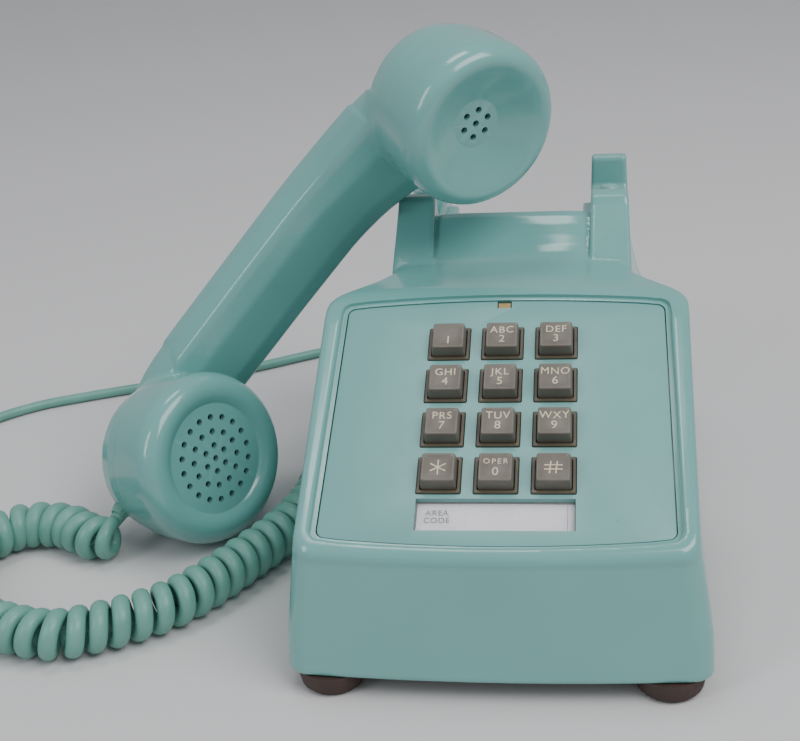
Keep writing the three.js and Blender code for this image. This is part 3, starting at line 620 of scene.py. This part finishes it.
def make_housing():
    piece = build("housing_shell", *skin(housing_field, (-76, -42, 2), (76, 194, 124), 0.85), PHONE)
    hollow = build("hollow", *skin(hollow_field, (-72, -38, 0), (72, 192, 104), 2.6), PHONE)
    pocket = stack([(-0.5, 1.9), (1.2, 2.1), (1.75, 2.3), (2.05, 2.7), (2.25, 3.3), (8, 3.6)])
    seat = stack([(-5.4, 0.35), (1.0, 0.35)])
    tools = [hollow, build("pocket", *pocket, FACE), build("seat", *seat, FACE),
             build("window", *bar(-52, 52, -21, 70, -30, -2), FACE),
             build("notch", *bar(-2.8, 2.8, 70, 77.9, -20, 5), FACE)]
    for x in (-HORN_MID, HORN_MID):
        tools.append(build("bore", *rod(4.8, 85, 130), PHONE @ Matrix.Translation((x, 156, 0))))
    tools.append(build("inlet", *rod(5.5, -80, -60),
                       PHONE @ Matrix.Translation((0, 150, 15.5)) @ Matrix.Rotation(math.radians(90), 4,
                           "Y")))
    tools.append(build("line_inlet", *rod(4.9, -200, -180),
                       PHONE @ Matrix.Translation((12, 0, 15.5)) @ Matrix.Rotation(math.radians(90), 4,
                           "X")))
    carve(piece, tools)
    crisp(piece)
    return finish_piece(piece, "base", "aqua_plastic", AQUA, "housing")


make_housing()

# ---------------------------------------------------------------- faceplate, keys and card
PITCH = 19.05
KEY_ROWS = [(3, "1", "2", "3"), (2, "4", "5", "6"), (1, "7", "8", "9"), (0, "star", "0", "pound")]
KEY_PLACES = [(name, (i - 1) * PITCH, row * PITCH) for row, *names in KEY_ROWS for i,
              name in enumerate(names)]
LETTERS = {"2": "ABC", "3": "DEF", "4": "GHI", "5": "JKL", "6": "MNO", "7": "PRS", "8": "TUV", "9": "WXY",
           "0": "OPER"}


def square(half, corner, u=0.0, v=0.0, z=0.0, per=6):
    """A square ring with rounded corners."""
    points = []
    for k, (sx, sy) in enumerate(((1, 1), (-1, 1), (-1, -1), (1, -1))):
        for i in range(per + 1):
            a = math.radians(90 * k + 90 * i / per)
            points.append((u + sx * (half - corner) + corner * math.cos(a),
                           v + sy * (half - corner) + corner * math.sin(a), z))
    return points


def square_hole(half, corner, u, v, z0, z1):
    return rings_mesh([square(half, corner, u, v, z0), square(half, corner, u, v, z1)])


def make_faceplate():
    plate = build("faceplate_skin",
                  *stack([(-2.6, -0.1), (-2.5, 0), (-1.0, 0), (-0.75, -0.08), (-0.6, -0.35)]), FACE)
    tools = [build("hole", *square_hole(7.6, 0.7, u, v, -10, 10), FACE) for _, u, v in KEY_PLACES]
    tools.append(build("label", *bar(-26.3, 26.3, -21.6, -9.2, -10, 10), FACE))
    tools.append(build("notch", *bar(-2.6, 2.6, 74.1, 90, -10, 10), FACE))
    crisp(carve(plate, tools), 30)
    return finish_piece(plate, "base", "aqua_faceplate", SATIN, "faceplate")


make_faceplate()


def make_collars():
    sheet = build("keypad_collars", *bar(-31, 31, -8.7, 67, -4.9, -2.9), FACE)
    rims = []
    for _, u, v in KEY_PLACES:
        levels = [(-3.4, 7.35), (-0.25, 7.35), (0.0, 7.1)]
        rims.append(build("rim", *rings_mesh([square(half, 0.6, u, v, z) for z, half in levels]), FACE))
    carve(sheet, rims, "UNION")
    tools = []
    for _, u, v in KEY_PLACES:
        levels = [(-6, 6.2), (-0.3, 6.2), (0.4, 6.5)]
        tools.append(build("hole", *rings_mesh([square(half, 0.8, u, v, z) for z, half in levels]), FACE))
    crisp(carve(sheet, tools), 30)
    finish_piece(sheet, "base", "collar_plastic", COLLAR, "keypad_frame")


make_collars()
KEY_TOP, DISH = 4.75, 0.62


def key_top(u, v):
    """Height of a key's dished top."""
    return KEY_TOP - DISH * (1 - 0.62 * (u / 5.0) ** 2 - 0.38 * (v / 5.0) ** 2)


def make_key(name, u, v):
    levels = [(2.4, 0.5, -11), (2.4, 0.5, -6.1), (5.8, 0.7, -6.0), (5.95, 0.9, -5.7), (5.95, 0.9, 1.0),
              (5.62, 0.9, 4.0)]
    rings = [square(half, corner, 0, 0, z) for half, corner, z in levels]
    for half, corner, drop in ((5.55, 0.95, 0.30), (5.42, 1.0, 0.10), (5.2, 1.0, 0.01), (4.7, 1.0, 0),
                               (3.9, 1.0, 0), (3, 0.9, 0), (2, 0.7, 0), (1, 0.4, 0), (0.3, 0.1, 0)):
        rings.append([(a, b, key_top(a, b) - drop) for a, b, _ in square(half, corner)])
    piece = build(f"key_{name}_cap", *rings_mesh(rings), FACE @ Matrix.Translation((u, v, 0)))
    crisp(piece, 50)
    return finish_piece(piece, f"key_{name}", "key_plastic", KEY, f"key_{name}")


def text_points(text, size, spacing=1.0, thick=0.05, bolder=0.0):
    """Points and faces of raised lettering around the origin, in millimetres."""
    curve = bpy.data.curves.new("text", "FONT")
    curve.body = text
    curve.size = size
    curve.space_character = spacing
    curve.align_x, curve.align_y = "CENTER", "CENTER"
    curve.extrude = thick
    curve.offset = bolder
    curve.resolution_u = 4
    lettering = bpy.data.objects.new("text", curve)
    bpy.context.scene.collection.objects.link(lettering)
    bpy.context.view_layer.update()
    mesh = bpy.data.meshes.new_from_object(lettering.evaluated_get(bpy.context.evaluated_depsgraph_get()))
    points = np.array([v.co for v in mesh.vertices])
    faces = [tuple(p.vertices) for p in mesh.polygons]
    bpy.data.objects.remove(lettering)
    return points, faces


def strokes(lines, half, thick=0.05):
    """Straight bars with square ends, each from (u0, v0) to (u1, v1)."""
    points, faces = [], []
    for u0, v0, u1, v1 in lines:
        d = Vector((u1 - u0, v1 - v0)).normalized() * half
        ring = [(u0 - d.x - d.y, v0 - d.y + d.x), (u0 - d.x + d.y, v0 - d.y - d.x),
                (u1 + d.x + d.y, v1 + d.y - d.x), (u1 + d.x - d.y, v1 + d.y + d.x)]
        more, quads = rings_mesh([[(a, b, z) for a, b in ring] for z in (-thick, thick)])
        faces += [tuple(i + len(points) for i in q) for q in quads]
        points += [tuple(p) for p in more]
    return np.array(points), faces


def joined(parts):
    points, faces = [], []
    for more, quads in parts:
        faces += [tuple(i + len(points) for i in q) for q in quads]
        points += [tuple(p) for p in more]
    return np.array(points), faces


def make_legend(name, u, v):
    if name == "star":
        arms = [(0, 0, 2.75 * math.cos(a),
                 2.75 * math.sin(a)) for a in np.radians([30, 90, 150, 210, 270, 330])]
        parts = [strokes(arms, 0.22)]
    elif name == "pound":
        parts = [strokes([(-2.8, 0.85, 2.8, 0.85), (-2.8, -0.85, 2.8, -0.85), (-1.25, -2.2, -0.85, 2.2),
                          (0.85, -2.2, 1.25, 2.2)], 0.22)]
    elif name == "1":
        parts = [strokes([(0, -3.3, 0, -0.4)], 0.24)]
    else:
        size, spacing = (2.9, 1.3) if name == "0" else (4.1, 1.12)
        letters, letter_faces = text_points(LETTERS[name], size, spacing)
        digit, digit_faces = text_points(name, 4.7)
        parts = [(letters + (0, 2.3, 0), letter_faces), (digit + (0, -1.75, 0), digit_faces)]
    points, faces = joined(parts)
    points[:, 2] += key_top(points[:, 0], points[:, 1]) + 0.07
    piece = build(f"legend_{name}", points, faces, FACE @ Matrix.Translation((u, v, 0)), smooth=False)
    finish_piece(piece, f"key_{name}", "key_plastic", LEGEND)


for name, u, v in KEY_PLACES:
    make_key(name, u, v)
    make_legend(name, u, v)


def make_card():
    width, steps = 25.9, 24
    edge = [(-width + i / steps * 2 * width) for i in range(steps + 1)]
    ring = lambda v, z: [(u, v, z + 0.12 * math.cos(u / 9)) for u in edge]
    rings = [[*ring(v, -3.95), *[(u, v, z) for u, _, z in reversed(ring(v, -3.6))]] for v in (-21.9, -17,
        -13, -9.4)]
    piece = build("number_paper", *rings_mesh(rings), FACE)
    crisp(piece)
    finish_piece(piece, "base", "card", CARD, "number_card")
    words, faces = text_points("AREA\nCODE", 2.9, 1.15, 0.03, 0.04)
    words += (-19.2, -14.6, -3.4)
    mark = strokes([(23.6, -21, 23.6, -9.8), (-11.6, -9.9, -11.6, -9.6), (-11.6, -10.7, -11.6, -10.5)], 0.07,
                   0.03)
    mark[0][:, 2] += -3.44
    piece = build("card_print", *joined([(words, faces), mark]), FACE, smooth=False)
    finish_piece(piece, "base", "card", INK)


make_card()

# ---------------------------------------------------------------- handset
HANDLE = np.array([
    (-14, 41, 16.5, 12), (-4, 43.4, 18.2, 12.6), (6, 44.3, 19.2, 12.8), (20, 44.6, 19.3, 12.8),
    (60, 44.6, 19.3, 12.6), (98, 44, 19.5, 12.7),
    (116, 41.4, 20.3, 13), (130, 37.6, 22, 13.4), (142, 33.5, 24, 13), (156, 28.5, 25, 11),
])
STATIONS = np.arange(-20, 172, 1.0)
SOFT = np.ones(15) / 15
HANDLE_Z, HANDLE_WIDE, HANDLE_THICK = (
    np.convolve(np.pad(np.interp(STATIONS, HANDLE[:, 0], HANDLE[:, i]), 7, "edge"), SOFT,
                "valid") for i in (1, 2, 3))
HANDLE_LEAN = np.gradient(HANDLE_Z)
SECTION = [(-0.42, -1.0), (0.42, -1.0), (0.90, -0.74), (1.0, -0.1), (0.95, 0.46), (0.68, 0.88), (0.25, 1.0),
           (-0.25, 1.0), (-0.68, 0.88), (-0.95, 0.46), (-1.0, -0.1), (-0.90, -0.74)]
SECTION_ROUND = 0.3
SECTION_OUTLINE = inset(SECTION, SECTION_ROUND).tolist()
CUP_T = [(-60, 48), (-60, 20), (31.9, 20), (31.9, 22.4), (31, 29), (29.4, 35), (24.8, 42), (16, 46.5),
         (0, 48)][::-1]
CUP_R = [(-60, 43), (-60, 15), (30.8, 15), (30.8, 17), (30.4, 23), (28, 32), (23, 39), (15, 42.4),
         (0, 43)][::-1]


def handle_grip(x, y, z, shrink, inner):
    """The handle without its cups; inner moves the side towards the caps in."""
    lean = np.interp(x, STATIONS, HANDLE_LEAN)
    thick = np.interp(x, STATIONS, HANDLE_THICK) - shrink
    wide = np.interp(x, STATIONS, HANDLE_WIDE) - shrink
    up = (z - np.interp(x, STATIONS, HANDLE_Z)) / np.sqrt(1 + lean ** 2)
    up = up - inner * np.clip(-up / 8, 0, 1)
    return (polygon(SECTION_OUTLINE, y / wide, up / thick) - SECTION_ROUND) * thick


def cup_field(outline, x, y, z, tilt, start):
    """A cup turned about its cap's axis, which is tilted about y and stands at x = start."""
    c, s = math.cos(tilt), math.sin(tilt)
    along, deep = (x - start) * c + z * s, -(x - start) * s + z * c
    away = np.hypot(along, y)
    return polygon(outline, away, deep)


def handle_field(x, y, z):
    neck = np.maximum(handle_grip(x, y, z, 0.6, -0.6), np.maximum(-16 - x, x - 148))
    first = cup_field(CUP_T, x, y, z, TRANSMITTER_TILT, 0.0)
    second = cup_field(CUP_R, x, y, z, RECEIVER_TILT, SPAN)
    start = 21 - 15 * np.sqrt(np.clip(1 - (y / 19.0) ** 2, 0, 1))
    pad = meet(handle_grip(x, y, z, 0.0, 0.0), np.maximum(start - x, x - 140), 1.4)
    body = unite(unite(neck, first, 3.0), second, 3.0)
    return unite(body, pad, 0.7)


TRANSMITTER_ROOM_R, TRANSMITTER_ROOM_DEPTH = 34.15, 22.3   # where each cap sits in its cup
RECEIVER_ROOM_R, RECEIVER_ROOM_DEPTH = 31.9, 16.9
IN_FRONT = -40                                             # well clear of the cap's face


def make_handle():
    piece = build("handle_shell", *skin(handle_field, (-46, -38, 2), (202, 38, 66), 0.85), HANDSET)
    rooms = [build("room_t", *rod(TRANSMITTER_ROOM_R, IN_FRONT, TRANSMITTER_ROOM_DEPTH, 160), TRANSMITTER),
             build("room_r", *rod(RECEIVER_ROOM_R, IN_FRONT, RECEIVER_ROOM_DEPTH, 160), RECEIVER)]
    crisp(carve(piece, rooms), 42)
    finish_piece(piece, "handset", "aqua_plastic", AQUA, "handset_handle")


make_handle()


def make_cap(name, profile, rings, end, node):
    profile = rounded(profile, 1.6, 4)
    piece = build(name, *turned(profile, 128), end)
    tools = []
    for count, radius, start in rings:
        for i in range(count):
            a = start + i / count * 2 * math.pi
            where = Matrix.Translation((radius * math.cos(a), radius * math.sin(a), 0))
            tools.append(build("hole", *rod(1.3, -2, 3.2, 20), end @ where))
    crisp(carve(piece, tools), 34)
    finish_piece(piece, "handset", "aqua_plastic", AQUA, node)


TRANSMITTER_CAP = [
    (0.01, 0), (12, 0), (21.3, 0), (21.8, 0), (22.9, -0.9), (25, -2.1), (27.6, -2.4), (30.4, -1.6),
    (32.7, 0.6), (34.0, 4.2), (33.9, 8),
    (32.8, 22), (29.9, 22), (30.9, 5), (28.5, 2.4), (0.01, 2.4),
]
RECEIVER_CAP = [
    (0.01, 0), (9.0, 0), (9.4, 0), (10.6, -0.5), (14, -1.9), (18, -3.9), (22, -6.3), (24.6, -7.6),
    (26.6, -7.9), (28.8, -6.8),
    (30.6, -4.4), (31.6, -1), (31.7, 3), (31.3, 16.6), (28.6, 16.6), (28.6, 1.2), (26.6, -2.2), (18, -0.4),
    (10, 2.4), (0.01, 2.4),
]
TURN = math.pi / 6
make_cap("transmitter_face", TRANSMITTER_CAP,
         [(1, 0, 0), (6, 5.2, TURN), (12, 10.7, TURN), (18, 16.4, TURN)], TRANSMITTER, "transmitter_cap")
make_cap("receiver_face", RECEIVER_CAP, [(1, 0, 0), (6, 5.3, TURN)], RECEIVER, "receiver_cap")

# ---------------------------------------------------------------- materials of the CAD nodes shown as is
NODE_MATERIALS = {
    RUBBER: ["foot_front_left", "foot_front_right", "foot_rear_left", "foot_rear_right"],
    STEEL: ["base_plate", "hookswitch_lever", "hookswitch_bracket", "ringer_frame", "ringer_clapper"],
    BRASS: ["gong_left", "gong_right", "faceplate_latch"],
    DARK: ["network_block", "ringer_volume_wheel", "transmitter_cup", "transmitter_capsule",
           "receiver_capsule"],
    BOARD: ["keypad_board", "hookswitch_contacts"],
    COPPER: ["ringer_coil"],
    AQUA: ["plunger_left", "plunger_right"],
    CORD: ["handset_bushing", "handset_cord_inlet", "line_cord_inlet"],
    CLEAR: ["card_window", "line_plug"],
}
for material, names in NODE_MATERIALS.items():
    for name in names:
        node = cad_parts[name]
        for entry in node.material_slots:
            entry.material = material

# ---------------------------------------------------------------- floor and light
FLOOR = 6                                  # half the floor's side, in metres
FLOOR_COLOUR = (0.62, 0.61, 0.605, 1)
SKY_COLOUR = (0.9, 0.93, 1, 1)
SKY_STRENGTH = 0.5


def make_stage():
    mesh = bpy.data.meshes.new("floor")
    mesh.from_pydata([(-FLOOR, -FLOOR, 0), (FLOOR, -FLOOR, 0), (FLOOR, FLOOR, 0), (-FLOOR, FLOOR, 0)], [],
                     [(0, 1, 2, 3)])
    floor = bpy.data.objects.new("floor", mesh)
    bpy.context.scene.collection.objects.link(floor)
    material = bpy.data.materials.new("floor")
    material.use_nodes = True
    material.node_tree.nodes["Principled BSDF"].inputs["Base Color"].default_value = FLOOR_COLOUR
    material.node_tree.nodes["Principled BSDF"].inputs["Roughness"].default_value = 0.9
    mesh.materials.append(material)


make_stage()

world = bpy.data.worlds.new("world")
world.use_nodes = True
world.node_tree.nodes["Background"].inputs["Color"].default_value = SKY_COLOUR
world.node_tree.nodes["Background"].inputs["Strength"].default_value = SKY_STRENGTH
bpy.context.scene.world = world


def area_light(name, place, aim, size, power, colour=(1, 1, 1)):
    data = bpy.data.lights.new(name, "AREA")
    data.shape = "RECTANGLE"
    data.size, data.size_y = size
    data.energy = power
    data.color = colour
    lamp = bpy.data.objects.new(name, data)
    bpy.context.scene.collection.objects.link(lamp)
    lamp.location = place
    lamp.rotation_euler = (Vector(aim) - Vector(place)).to_track_quat("-Z", "Y").to_euler()


area_light("main", (0.75, -0.55, 1.25), (0, 0, 0.06), (1.0, 0.8), 15)
area_light("window", (-0.75, -0.75, 0.75), (-0.02, 0, 0.08), (0.28, 0.6), 3.2, (0.93, 0.97, 1))
area_light("top", (-0.1, 0.15, 1.4), (0, 0.02, 0.06), (0.5, 0.3), 3.0)
